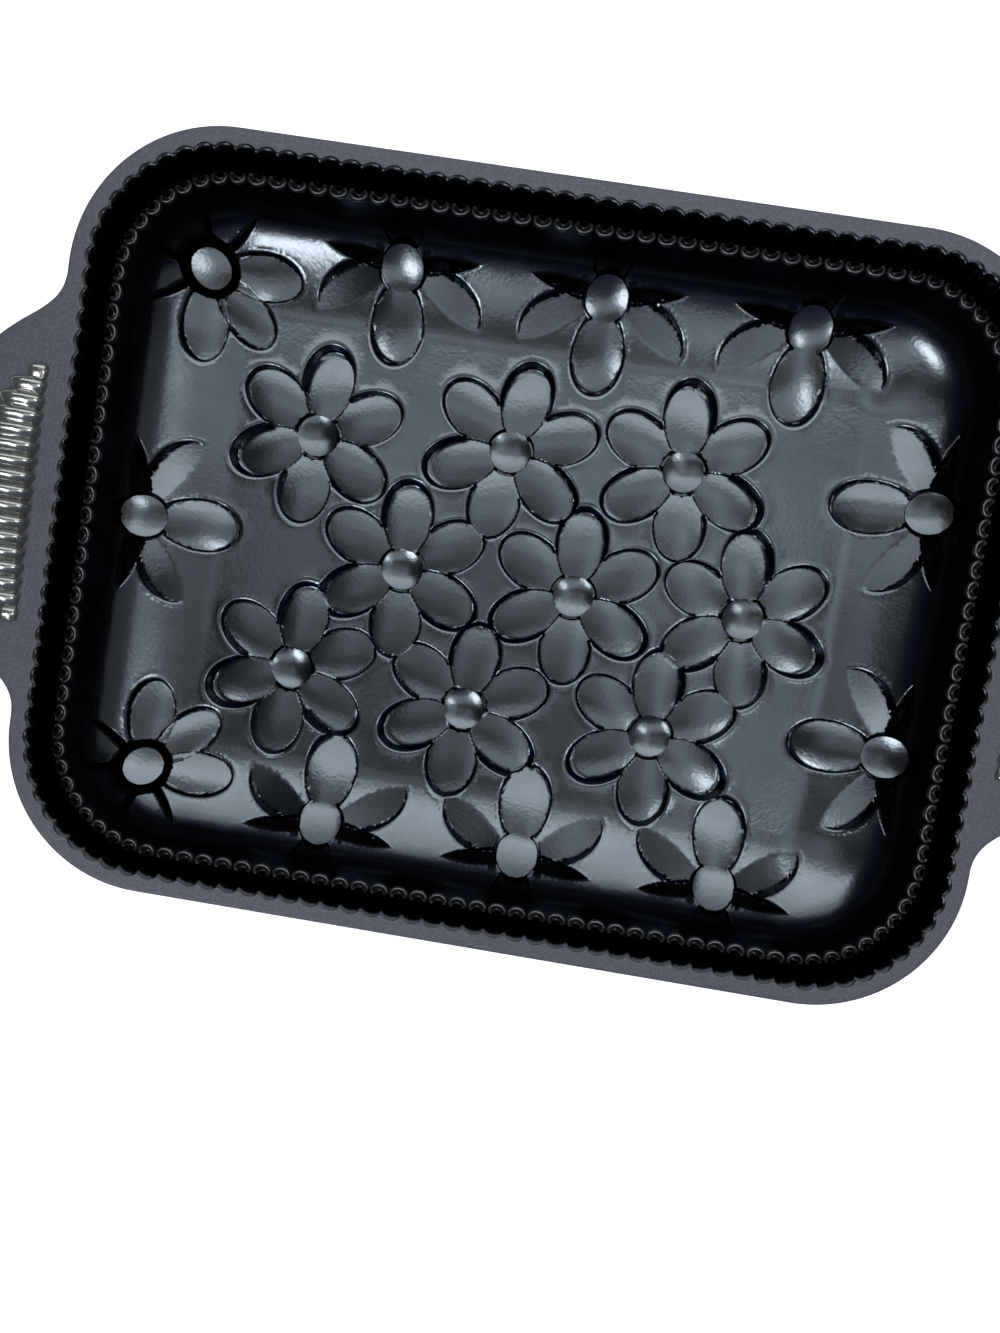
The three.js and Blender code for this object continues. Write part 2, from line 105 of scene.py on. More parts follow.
# Petals; a wedge or slit is its start and end, measured from the button's middle, and its half width
FLOWER_RADIUS = 35.0
PETAL_TURN = 60.0
PETAL_LENGTH = 32.2
PETAL_WIDTH = 20.8
CORNER_PETAL_WIDTH = 17.5
PETAL_EGG = 0.08
PETAL_LIP = 0.9
LINE_RISE = 0.09
LINE_WIDTH = 0.8
LIP_END_DEG = 65.0
PETAL_WALL_DEG = 80.0
PILLOW = 1.05
FLAT_PILLOW = 1.4
PETAL_TILT = 0.8
DEEP_PETAL = 5.5
SHALLOW_PETAL = 3.6
CORNER_PETAL = 3.6
CORNER_TURN = 45.0
CORNER_MIDDLE = 0.7
CORNER_SLOPE = 0.3
BASE_DEPTH = 2.6
TIP_DEPTH = 5.9
LEAF_DIP = 0.8
LEAF_SPAN = 0.93
WEDGE = (-8.0, 30.0, 3.3)
WEDGE_TURN = 98.0
WEDGE_DEPTH = 8.0
SLIT = (-7.5, 29.0, 1.9)
SLIT_TURNS = (92.0, 138.0)
NOTCH_DEPTH = 3.0

# Buttons, and the narrow slots beside them
Button = namedtuple("Button", "radius depth dish lean groove_width groove_depth")
BUTTONS = {
    "field": Button(7.75, 3.6, 20.0, 1.0, 1.4, 3.5),
    "edge": Button(7.75, 1.5, 26.0, 1.0, 1.4, 3.5),
    "end": Button(7.75, 1.5, 26.0, 0.6, 1.4, 3.5),
    "corner": Button(6.9, 1.5, 45.0, 1.0, 3.4, 7.0),
}
SLOPE_STEP = 2.0
SLOT_HALF_DEG = 26.0
SLOT_FADE_DEG = 4.0
SLOT_SIDE = 0.45

# Where the daisies lie: rows and corners by their distance from the rim, the field by x, y and turn
EDGE_ROW_X = (-60.5, 15.0, 89.5)
EDGE_ROW_Y = HALF_Y - 23.0
END_X = HALF_X - 19.0
END_Y = 45.0
CORNER_X = HALF_X - 30.5
CORNER_Y = HALF_Y - 33.0
FIELD_DAISIES = (
    (-85.0, 40.5, 25.0),
    (-11.5, 45.5, 21.0),
    (54.0, 48.0, 34.0),
    (-45.5, -4.5, 32.0),
    (20.5, -4.5, 30.0),
    (85.0, -3.0, 36.0),
    (-82.0, -48.5, 24.0),
    (-14.0, -53.5, 26.0),
    (58.0, -52.5, 31.0),
)

# Rim, ears and grips; a point of an ear's curve is a share of its reach and of its root
RIM_LIP = 0.05
EDGE_BEVEL = 0.8
EAR_TIP = 17.0
EAR_ROOT_CURVE = ((0.0, 1.0), (0.0, 0.89), (0.15, 0.84), (0.36, 0.77))
EAR_TIP_CURVE = ((0.36, 0.77), (0.71, 0.65), (1.0, 0.48))
GRIP_SPARE = 1.2
GRIP_HALF = GRIP_HIGH[1] + GRIP_SPARE
GRIP_END = 0.42
GRIP_SINK = 0.05
RIB_PITCH = 5.2
RIB_DEPTH = 1.7
RIB_CREST = 0.32
RIB_GAP_REACH = 0.9
RIB_CREST_REACH = 0.1
RIB_NECK = 0.35

# How finely the meshes are drawn: runs and gaps in millimetres, shares, angles in degrees and counts
ARC_POINTS = 16
FLUTE_COLUMNS = 14
WALL_COLUMNS = 4
QUARTERS = (0.25, 0.5, 0.75, 1.0)
BASE_TURNS = range(90, -1, -15)
BEVEL_TURNS = (0, 30, 60, 90)
WALL_RUNS = np.concatenate([[0.12, 0.3, 0.55], np.arange(0.85, 4.6, 0.4), np.arange(5.5, 36, 2.0)])
PETAL_RINGS = (
    -0.8, -0.6, -0.4, -0.2, 0.0, 0.2, 0.4, 0.6, 0.75, 0.82,
    0.95, 1.1, 1.3, 1.5, 1.7, 2.0, 3.0, 4.5, 6.5, 8.5,
)
SHARP_RINGS = (0.0, 0.82)
PETAL_POINTS = 48
LEAF_POINTS = 25
LEAF_STEPS = 40
EGG_ROUNDS = 4
BUTTON_RINGS = (0.25, 0.5, 0.7, 0.84, 0.93, 0.98, 1.0)
GROOVE_RINGS = (0.04, 0.3, 0.55, 0.75, 1.0)
BUTTON_POINTS = 36
BUTTON_GAP = 0.15
WALL_GAP = 0.9
PANEL_GAP = 1.0
PETAL_MARGIN = 1.18
FIELD_STEP = 3.5
MERGE_GAP = 1e-5
SUNK = 1e-4
TINY = 1e-6
TOP_START_DEG = 12
TOP_LEVELS = 8
FLUTE_LEVELS = 5
FLUTE_END_LEVELS = 30
BEAD_POINTS = 20
SCALLOP_RUNS = (0.35, 0.8)
EAR_POINTS = 40
RIB_STEPS = 10
ARCH_STEPS = 24

# The fluted edge as a path of arcs and straights, from the right-hand end anticlockwise
SIDE_X = HALF_X - RIM_CORNER
SIDE_Y = HALF_Y - RIM_CORNER
EDGE_CORNER = RIM_CORNER - FLUTE_EDGE_INSET
ARC = math.pi / 2 * EDGE_CORNER
PATH_LENGTHS = np.array([ARC, 2 * SIDE_X, ARC, 2 * SIDE_Y, ARC, 2 * SIDE_X, ARC, 2 * SIDE_Y])
PATH_STARTS = np.concatenate([[0.0], np.cumsum(PATH_LENGTHS)[:-1]])
PATH_CENTRES = np.repeat(
    np.array([[SIDE_X, SIDE_Y], [-SIDE_X, SIDE_Y], [-SIDE_X, -SIDE_Y], [SIDE_X, -SIDE_Y]]), 2, axis=0
)
PATH_ANGLES = np.radians([0, 90, 90, 180, 180, 270, 270, 360])
PATH_CURVED = np.array([True, False] * 4)
EDGE_LENGTH = PATH_LENGTHS.sum()
FLUTE_COUNT = 4 * round(EDGE_LENGTH / FLUTE_PITCH / 4)


def rim_points(distance, inset):
    """Points this far along the fluted edge, moved square to it to an inset from the rim's edge."""
    piece = np.clip(np.searchsorted(PATH_STARTS, distance, side="right") - 1, 0, len(PATH_STARTS) - 1)
    rest = distance - PATH_STARTS[piece]
    curved = PATH_CURVED[piece]
    angle = PATH_ANGLES[piece] + np.where(curved, rest / EDGE_CORNER, 0.0)
    slide = np.where(curved, 0.0, rest)
    radius = RIM_CORNER - inset
    x = PATH_CENTRES[piece, 0] + radius * np.cos(angle) - slide * np.sin(angle)
    y = PATH_CENTRES[piece, 1] + radius * np.sin(angle) + slide * np.cos(angle)
    return np.stack([x, y], axis=-1)


def inset_of(points):
    """How far points in plan lie inside the rim's outer edge."""
    away = np.abs(points) - np.array([SIDE_X, SIDE_Y])
    outside = np.linalg.norm(np.maximum(away, 0), axis=-1) + np.minimum(away.max(axis=-1), 0)
    return RIM_CORNER - outside


def steps_round(count):
    """Equal steps along the fluted edge."""
    return EDGE_LENGTH * np.arange(count) / count


def turns_round(count):
    """Equal steps round a circle."""
    return 2 * np.pi * np.arange(count) / count


def level_loop(places, inset, z):
    flat = rim_points(places, inset)
    return np.column_stack([flat, np.broadcast_to(z, len(flat))])


def crosswise(along):
    """The direction a quarter turn anticlockwise from another."""
    return np.array([-along[1], along[0]])


def smoothstep(value):
    value = np.clip(value, 0, 1)
    return value * value * (3 - 2 * value)


# Meshes
def make_piece(name, points, faces, material, sharp_deg=40):
    mesh = bpy.data.meshes.new(name)
    mesh.from_pydata((np.asarray(points) * MM).tolist(), [], [list(map(int, f)) for f in faces])
    mesh.validate()
    mesh.polygons.foreach_set("use_smooth", np.ones(len(mesh.polygons), bool))
    mesh.set_sharp_from_angle(angle=math.radians(sharp_deg))
    mesh.materials.append(material)
    piece = bpy.data.objects.new(name, mesh)
    bpy.context.scene.collection.objects.link(piece)
    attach(piece, "root")
    return piece


def coat_outside(piece, count, material):
    """Gives the last faces of a piece, which are its outside, a coat of their own."""
    piece.data.materials.append(material)
    coats = np.zeros(len(piece.data.polygons), int)
    coats[-count:] = 1
    piece.data.polygons.foreach_set("material_index", coats)


def ring_faces(rows, count, first=0, closed=False):
    """Quads between loops of equal count that lie one after another in the list of points."""
    faces = []
    for row in range(rows if closed else rows - 1):
        low = first + row * count
        high = first + ((row + 1) % rows) * count
        for i in range(count):
            j = (i + 1) % count
            faces.append((low + i, low + j, high + j, high + i))
    return faces


# The floor before the daisies are sunk in it
def border_curve():
    """The sloping border from the flat panel up to the wall, as run and rise from the panel's edge."""
    run, rise = [0.0], [0.0]
    for radius, start, end in BORDER_ARCS:
        tilts = np.radians(np.linspace(start, end, ARC_POINTS))[1:]
        first = math.radians(start)
        foot, level = run[-1], rise[-1]
        run += list(foot + radius * (np.sin(tilts) - math.sin(first)))
        rise += list(level + radius * (math.cos(first) - np.cos(tilts)))
    return np.array(run), np.array(rise)


BORDER_RUN, BORDER_RISE = border_curve()
SPRING_INSET = PANEL_INSET - BORDER_RUN[-1]
SPRING_Z = FLOOR_Z + BORDER_RISE[-1]


def plain_height(points):
    run = np.clip(PANEL_INSET - inset_of(points), 0, BORDER_RUN[-1])
    return FLOOR_Z + np.interp(run, BORDER_RUN, BORDER_RISE)


# Daisies and their petals; a style is a turn from the first petal, a form and a depth
Petal = namedtuple("Petal", "middle along half_width half_length")
POINTED = {"wedge": WEDGE, "slit": SLIT}
FIELD_STYLES = [(PETAL_TURN * i, "level", DEEP_PETAL if i % 2 else SHALLOW_PETAL) for i in range(6)]
EDGE_STYLES = [
    (0, "slope", TIP_DEPTH),
    (PETAL_TURN, "leaf", 0.0),
    (-PETAL_TURN, "leaf", 0.0),
    (WEDGE_TURN, "wedge", WEDGE_DEPTH),
    (-WEDGE_TURN, "wedge", WEDGE_DEPTH),
    (180, "notch", NOTCH_DEPTH),
]
CORNER_STYLES = [(0, "slope", TIP_DEPTH)]
CORNER_STYLES += [(side * CORNER_TURN, "follow", CORNER_PETAL) for side in (1, -1)]
CORNER_STYLES += [(side * turn, "slit", WEDGE_DEPTH) for turn in SLIT_TURNS for side in (1, -1)]
STYLES = {"field": FIELD_STYLES, "edge": EDGE_STYLES, "end": EDGE_STYLES, "corner": CORNER_STYLES}


def daisies():
    """Every daisy as x, y, the turn of its first petal in degrees, and its kind."""
    found = [(x, y, turn, "field") for x, y, turn in FIELD_DAISIES]
    for side in (1, -1):
        found += [(x, side * EDGE_ROW_Y, -90.0 * side, "edge") for x in EDGE_ROW_X]
        found.append((-CORNER_X, side * CORNER_Y, -45.0 * side, "corner"))
        found.append((END_X, side * END_Y, 180.0, "end"))
    found.append((-END_X, 0.0, 0.0, "end"))
    return found


def petals():
    """Every petal with its style, its depth and the side of it that faces the daisy's first petal."""
    oval = (FLOWER_RADIUS - PETAL_LENGTH, FLOWER_RADIUS)
    for x, y, first, kind in daisies():
        width = CORNER_PETAL_WIDTH if kind == "corner" else PETAL_WIDTH
        for turn, style, depth in STYLES[kind]:
            start, end, half_width = POINTED.get(style, (*oval, width / 2))
            angle = math.radians(first + turn)
            along = np.array([math.cos(angle), math.sin(angle)])
            middle = np.array([x, y]) + (start + end) / 2 * along
            petal = Petal(middle, along, half_width, (end - start) / 2)
            yield petal, style, depth, -1 if turn >= 0 else 1


def petal_bottom(points, scale, plain, petal, style, depth):
    """The floor of one petal: a low pillow, or a leaf, wedge or notch where the daisy meets the wall."""
    middle, along, _, half_length = petal
    u = np.clip((points - middle) @ along / half_length, -1, 1)
    swell = 1 - np.minimum(scale, 1) ** 2
    if style == "level":
        tilt = PETAL_TILT * (1 if depth == DEEP_PETAL else -1)
        return plain_height(middle[None])[0] - depth - tilt * u + PILLOW * swell
    if style == "slope":
        base, tip = plain_height(middle + np.outer([-half_length, half_length], along))
        return base - BASE_DEPTH + (tip - depth - base + BASE_DEPTH) * (1 + u) / 2 + FLAT_PILLOW * swell
    if style == "follow":
        return plain - depth * (CORNER_MIDDLE + CORNER_SLOPE * u) + FLAT_PILLOW * swell
    if style == "leaf":
        return plain_height(middle + np.outer(u * half_length, along)) - LEAF_DIP * (1 - u * u)
    if style in POINTED:
        return plain - depth * np.maximum(1 - scale, 0)
    return plain - depth


def petal_ring(petal, style, scale):
    """A copy of the petal's outline: an egg, or two arcs that meet in points."""
    middle, along, half_width, half_length = petal
    turn = turns_round(PETAL_POINTS)
    if style in POINTED:
        reach = math.sqrt(scale) * np.cos(turn)
        side = scale * np.sin(turn) * np.abs(np.sin(turn))
    else:
        reach = scale * np.cos(turn)
        side = scale * (1 + PETAL_EGG * np.cos(turn)) * np.sin(turn)
    return middle + np.outer(reach * half_length, along) + np.outer(side * half_width, crosswise(along))


def petal_scale(points, petal, style):
    """How large a copy of the petal's outline passes through each point: 1 on its edge, 0 in its middle."""
    middle, along, half_width, half_length = petal
    offset = points - middle
    u = offset @ along / half_length
    v = offset @ crosswise(along) / half_width
    if style in POINTED:
        return u * u + np.abs(v)
    scale = np.hypot(u, v)
    for _ in range(EGG_ROUNDS):
        lean = np.clip(u / np.maximum(scale, TINY), -1, 1)
        scale = np.hypot(u, v / (1 + PETAL_EGG * lean))
    return scale


def leaf_line(petal, inward):
    """The line where a leaf's floor runs out flush with the border."""
    middle, along, half_width, half_length = petal
    steps = np.linspace(0, half_width, LEAF_STEPS)
    line = []
    for u in np.linspace(-LEAF_SPAN, LEAF_SPAN, LEAF_POINTS):
        row = middle + u * half_length * along + np.outer(steps, inward * crosswise(along))
        above = plain_height(row) - petal_bottom(row, 0.0, 0.0, petal, "leaf", 0.0)
        line.append(row[np.argmax(above <= 0)])
    return np.array(line)


def petal_wall(within):
    """How far a petal's wall has dropped, by the distance inside its edge: a rounded lip, then a draft."""
    end = math.radians(LIP_END_DEG)
    lip = PETAL_LIP - np.sqrt(PETAL_LIP**2 - np.clip(within, 0, PETAL_LIP * math.sin(end)) ** 2)
    beyond = np.maximum(within - PETAL_LIP * math.sin(end), 0)
    return lip + beyond * math.tan(math.radians(PETAL_WALL_DEG))


def raised_line(points, scale, petal, style, inward):
    """A low line that runs round a petal just outside its edge, but not where a leaf runs out flush."""
    middle, along, half_width, _ = petal
    out = np.clip((scale - 1) * half_width / LINE_WIDTH, 0, 1)
    line = 0 if style == "notch" else LINE_RISE * np.sin(np.pi * out) ** 2
    if style == "leaf":
        line = line * ((points - middle) @ crosswise(along) * inward < 0)
    return line


# Buttons
def button_surface(points, x, y, kind):
    """A dished disc: level in the field, leaning with the border elsewhere."""
    centre = np.array([x, y])
    probes = centre + SLOPE_STEP * np.array([[0, 0], [1, 0], [-1, 0], [0, 1], [0, -1]])
    here, right, left, back, front = plain_height(probes)
    lean = np.array([right - left, back - front]) / (2 * SLOPE_STEP)
    button = BUTTONS[kind]
    offset = points - centre
    dish = ((offset**2).sum(axis=1) - button.radius**2) / (2 * button.dish)
    return here - button.depth + button.lean * offset @ lean + dish


def slot_share(points, x, y, turn, kind):
    """How far each point lies in the dark slots beside a button, which run all round it in a corner."""
    offset = points - np.array([x, y])
    radius = np.linalg.norm(offset, axis=1)
    width = BUTTONS[kind].groove_width
    within = BUTTONS[kind].radius + width - radius
    if kind == "corner":
        return np.clip(within / width, 0, 1)
    share = smoothstep(within / (SLOT_SIDE * width))
    first = turn if kind == "field" else turn + PETAL_TURN
    angle = np.degrees(np.arctan2(offset[:, 1], offset[:, 0])) - first
    away = np.abs((angle + PETAL_TURN) % (2 * PETAL_TURN) - PETAL_TURN)
    return share * smoothstep((SLOT_HALF_DEG + SLOT_FADE_DEG - away) / (2 * SLOT_FADE_DEG))


# The tub
def floor_height(points):
    """The height of the tub's inner surface over points in plan, up to where the wall springs."""
    plain = plain_height(points)
    height = plain.copy()
    rise = np.zeros(len(points))
    inside_wall = smoothstep((inset_of(points) - SPRING_INSET) / SOCKET_FADE)
    for petal, style, depth, inward in petals():
        near = np.linalg.norm(points - petal.middle, axis=1) < PETAL_LENGTH
        spot, over = points[near], plain[near]
        scale = petal_scale(spot, petal, style)
        bottom = petal_bottom(spot, scale, over, petal, style, depth)
        sunk = np.minimum(petal_wall((1 - scale) * petal.half_width), np.maximum(over - bottom, 0))
        height[near] = np.minimum(height[near], over - inside_wall[near] * sunk)
        rise[near] = np.maximum(rise[near], raised_line(spot, scale, petal, style, inward))
    on_slope = smoothstep((inset_of(points) - SPRING_INSET) / LINE_FADE - 1)
    height = np.where(height < plain - SUNK, height, plain + on_slope * rise)
    for x, y, turn, kind in daisies():
        button = BUTTONS[kind]
        near = np.linalg.norm(points - np.array([x, y]), axis=1) < 2 * button.radius
        spot = points[near]
        dish = button_surface(spot, x, y, kind)
        slot = slot_share(spot, x, y, turn, kind) * inside_wall[near]
        low = height[near] - slot * np.maximum(height[near] - (dish - button.groove_depth), 0)
        on_button = np.linalg.norm(spot - np.array([x, y]), axis=1) < button.radius
        height[near] = np.where(on_button, dish, low)
    return np.maximum(height, FLOOR_Z - SOCKET_LIMIT)


def clear_of_buttons(points):
    middles = np.array([(x, y) for x, y, _, _ in daisies()])
    buttons = [BUTTONS[kind] for *_, kind in daisies()]
    reaches = np.array([button.radius + button.groove_width for button in buttons])
    gap = np.linalg.norm(points[:, None] - middles[None], axis=2) - reaches
    return (gap > BUTTON_GAP).all(axis=1)


def petal_lines():
    """The lines of every petal, each with whether the mesh keeps it as an edge and whether it closes."""
    for petal, style, _, inward in petals():
        for run in PETAL_RINGS:
            if run < petal.half_width:
                yield petal_ring(petal, style, 1 - run / petal.half_width), run in SHARP_RINGS, True
        if style == "leaf":
            yield leaf_line(petal, inward), True, False


def line_edges(keep, first, closed):
    """Edges between neighbours on a line, where only its kept points are numbered, from the first on."""
    number = dict(zip(np.flatnonzero(keep), range(first, first + keep.sum())))
    nexts = {k: (k + 1) % len(keep) for k in number if closed or k + 1 < len(keep)}
    return [(number[k], number[n]) for k, n in nexts.items() if n in number]


def button_rings():
    """The middle of every button, and the rings round it to the far side of its groove."""
    turn = turns_round(BUTTON_POINTS)
    circle = np.column_stack([np.cos(turn), np.sin(turn)])
    for x, y, _, kind in daisies():
        middle = np.array([[x, y]])
        button = BUTTONS[kind]
        yield middle
        for share in BUTTON_RINGS:
            yield middle + button.radius * share * circle
        for share in GROOVE_RINGS:
            yield middle + (button.radius + button.groove_width * share) * circle


def plain_field():
    """A grid of points on the flat panel, clear of the daisies."""
    grid_x = np.arange(-HALF_X, HALF_X, FIELD_STEP)
    grid_y = np.arange(-HALF_Y, HALF_Y, FIELD_STEP)
    field = np.stack(np.meshgrid(grid_x, grid_y), axis=-1).reshape(-1, 2)
    field = field[clear_of_buttons(field) & (inset_of(field) > PANEL_INSET + PANEL_GAP)]
    for petal, style, *_ in petals():
        field = field[petal_scale(field, petal, style) > PETAL_MARGIN]
    return field


def floor_plan(places):
    """Points in plan that follow the relief, those at the wall first, and the edges that the mesh keeps."""
    columns = len(places)
    sets = [rim_points(places, SPRING_INSET)]
    edges = [(i, (i + 1) % columns) for i in range(columns)]
    for run in WALL_RUNS:
        loop = rim_points(places, SPRING_INSET + run)
        sets.append(loop[clear_of_buttons(loop)])
    total = sum(map(len, sets))
    for line, sharp, closed in petal_lines():
        keep = clear_of_buttons(line) & (inset_of(line) > SPRING_INSET + WALL_GAP)
        if sharp:
            edges += line_edges(keep, total, closed)
        sets.append(line[keep])
        total += keep.sum()
    sets += button_rings()
    sets.append(plain_field())
    return np.concatenate(sets), edges


def wall_loops(places):
    """Loops up the inside of the wall to the lip, and loops down its outside to the base."""
    inner, outer = [], []
    for share in QUARTERS:
        inset = SPRING_INSET + share * (LIP_INSET - SPRING_INSET)
        inner.append(level_loop(places, inset, SPRING_Z + share * (LIP_Z - SPRING_Z)))
    for z in (LIP_Z, (LIP_Z + BASE_ROUND) / 2):
        outer.append(level_loop(places, LIP_INSET - WALL + (LIP_Z - z) * DRAFT, z))
    foot = LIP_INSET - WALL + (LIP_Z - BASE_ROUND) * DRAFT
    for angle in np.radians(BASE_TURNS):
        inset = foot + BASE_ROUND * (1 - math.sin(angle))
        outer.append(level_loop(places, inset, BASE_ROUND * (1 - math.cos(angle))))
    return inner, outer


def tub_piece(material, outside):
    """The floor with its daisies, the wall, and the plain outside down to the base."""
    columns = FLUTE_COUNT * WALL_COLUMNS
    places = steps_round(columns)
    plan, edges = floor_plan(places)
    flat, _, faces, origins, _, _ = delaunay_2d_cdt(plan.tolist(), edges, [], 0, MERGE_GAP)
    flat = np.array([tuple(p) for p in flat])
    faces = [tuple(f) for f in faces]
    place_of = {origin: i for i, group in enumerate(origins) for origin in group}
    inner, outer = wall_loops(places)
    rows = len(inner) + len(outer)
    first = len(flat)
    for i in range(columns):
        j = (i + 1) % columns
        faces.append((place_of[i], place_of[j], first + j, first + i))
    faces += ring_faces(rows, columns, first)
    last = first + (rows - 1) * columns
    faces.append(tuple(last + i for i in reversed(range(columns))))
    points = np.concatenate([np.column_stack([flat, floor_height(flat)]), *inner, *outer])
    piece = make_piece("tub", points, faces, material)
    coat_outside(piece, (len(outer) - 1) * columns + 1, outside)
    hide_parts("flower_floor", "side_wall")


# The fluted and beaded border
def rounded_max(one, other):
    """The larger of two depths, with the ridge where they meet rounded off."""
    return (one + other + np.sqrt((one - other) ** 2 + RIDGE_ROUND**2)) / 2


def flute_depth(across, drop):
    """How deep the border is hollowed, by the distance across a flute and the drop below the rim's top."""
    below = np.maximum(drop - FLUTE_LENGTH, 0)
    flute = np.sqrt(np.maximum(FLUTE_ROUND**2 - across**2 - below**2, 0)) - (FLUTE_ROUND - FLUTE_DEPTH)
    return rounded_max(flute, 0.0)


def cusp_inset(drop):
    """Where the ridges between the flutes stand: rounded over at the rim, then down to the wall."""
    run = (LIP_INSET - FLUTE_TOP_ROUND - FLUTE_EDGE_INSET) * drop / (RIM_TOP - LIP_Z)
    short = FLUTE_TOP_ROUND - min(drop, FLUTE_TOP_ROUND)
    return FLUTE_EDGE_INSET + run + math.sqrt(FLUTE_TOP_ROUND**2 - short**2)


def flute_loop(drop, columns):
    """A level line round the flutes, this far below the rim's top."""
    across = (np.arange(columns) % FLUTE_COLUMNS / FLUTE_COLUMNS - 0.5) * EDGE_LENGTH / FLUTE_COUNT
    inset = cusp_inset(drop) - flute_depth(across, drop)
    return level_loop(steps_round(columns), inset, RIM_TOP - drop)


def flute_drops():
    """The drops at which the flutes are drawn: over the top rounding, straight down, past their ends."""
    turns = np.radians(np.linspace(TOP_START_DEG, 90, TOP_LEVELS))
    top = FLUTE_TOP_ROUND * (1 - np.cos(turns))
    straight = np.linspace(FLUTE_TOP_ROUND, FLUTE_LENGTH, FLUTE_LEVELS)[1:]
    ends = np.linspace(FLUTE_LENGTH, RIM_TOP - LIP_Z, FLUTE_END_LEVELS)[1:]
    return np.concatenate([[RIM_LIP], top, straight, ends])


def border_piece(material, outside):
    """The flutes, with a plain back whose last two rows are the outside under the rim."""
    columns = FLUTE_COUNT * FLUTE_COLUMNS
    places = steps_round(columns)
    loops = [flute_loop(drop, columns) for drop in flute_drops()[::-1]]
    loops.append(level_loop(places, RIM_STRIP, RIM_TOP - RIM_LIP))
    loops.append(level_loop(places, RIM_STRIP, RIM_UNDER))
    loops.append(level_loop(places, LIP_INSET - WALL, LIP_Z))
    faces = ring_faces(len(loops), columns, closed=True)
    piece = make_piece("border", np.concatenate(loops), faces, material, sharp_deg=60)
    coat_outside(piece, 2 * columns, outside)
    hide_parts("fluted_border")


def bead_piece(material):
    """A row of small balls with a dimple in the top of each, one under every flute."""
    points, faces = [], []
    turn = turns_round(BEAD_POINTS)
    pitch = EDGE_LENGTH / FLUTE_COUNT
    for place in (np.arange(FLUTE_COUNT) + 0.5) * pitch:
        first = len(points) * BEAD_POINTS
        for radius, z in BEAD_PROFILE:
            inset = BEAD_INSET + BEAD_HALF[1] * radius * np.cos(turn)
            flat = rim_points(place + BEAD_HALF[0] * radius * np.sin(turn), inset)
            level = RIM_TOP - BEAD_DROP + z + BEAD_LEAN * radius * np.cos(turn)
            points.append(np.column_stack([flat, level]))
        faces += ring_faces(len(BEAD_PROFILE), BEAD_POINTS, first)
        last = first + (len(BEAD_PROFILE) - 1) * BEAD_POINTS
        faces.append(tuple(reversed(range(first, first + BEAD_POINTS))))
        faces.append(tuple(range(last, last + BEAD_POINTS)))
    piece = make_piece("bead_row", np.concatenate(points), faces, material, sharp_deg=60)
    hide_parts("fluted_border")


# Rim with its ears
def bezier(points):
    t = np.linspace(0, 1, EAR_POINTS)[:, None]
    a, b, c, d = np.array(points)
    return (1 - t) ** 3 * a + 3 * (1 - t) ** 2 * t * b + 3 * (1 - t) * t**2 * c + t**3 * d


def ear_reach(y):
    """How far the ear stands out from the rim's edge, by the distance from the pan's middle line."""
    size = np.array([EAR_REACH, EAR_ROOT])
    root = bezier(size * EAR_ROOT_CURVE)
    tip = bezier([*(size * EAR_TIP_CURVE), (EAR_REACH, EAR_TIP)])
    curve = np.concatenate([root, tip])[::-1]
    return np.interp(np.abs(y), curve[:, 1], curve[:, 0], left=EAR_REACH, right=0.0)


def edge_loop(columns, inset, z):
    """The outer edge of rim and ears, drawn in by an inset."""
    edge = rim_points(steps_round(columns), 0.0)
    at_end = np.abs(edge[:, 0]) > HALF_X - TINY
    edge[:, 0] += np.where(at_end, np.sign(edge[:, 0]) * ear_reach(edge[:, 1]), 0.0)
    tangent = np.roll(edge, -1, axis=0) - np.roll(edge, 1, axis=0)
    normal = np.column_stack([tangent[:, 1], -tangent[:, 0]])
    normal /= np.linalg.norm(normal, axis=1, keepdims=True)
    return np.column_stack([edge - inset * normal, np.full(columns, z)])


def rim_piece(material):
    """The flat rim from its scalloped inner edge, over the bevelled outer edge and back underneath."""
    columns = FLUTE_COUNT * FLUTE_COLUMNS
    places = steps_round(columns)
    scallop = flute_loop(0.0, columns)
    loops = [flute_loop(RIM_LIP, columns), scallop]
    outward = rim_points(places, 0.0) - rim_points(places, 1.0)
    for run in SCALLOP_RUNS:
        shifted = scallop.copy()
        shifted[:, :2] += run * outward
        loops.append(shifted)
    strip = level_loop(places, RIM_STRIP, RIM_TOP)
    bevelled = edge_loop(columns, EDGE_BEVEL, RIM_TOP)
    loops.append(strip)
    for share in QUARTERS[:-1]:
        loops.append(strip + share * (bevelled - strip))
    for turns, level, way in ((BEVEL_TURNS, RIM_TOP, -1), (BEVEL_TURNS[::-1], RIM_UNDER, 1)):
        for angle in np.radians(turns):
            inset = EDGE_BEVEL * (1 - math.sin(angle))
            loops.append(edge_loop(columns, inset, level + way * EDGE_BEVEL * (1 - math.cos(angle))))
    loops.append(level_loop(places, RIM_STRIP, RIM_UNDER))
    loops.append(level_loop(places, RIM_STRIP, RIM_TOP - RIM_LIP))
    faces = ring_faces(len(loops), columns, closed=True)
    piece = make_piece("rim_and_ears", np.concatenate(loops), faces, material, sharp_deg=60)
    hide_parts("rim_flange", "handle_left", "handle_right")


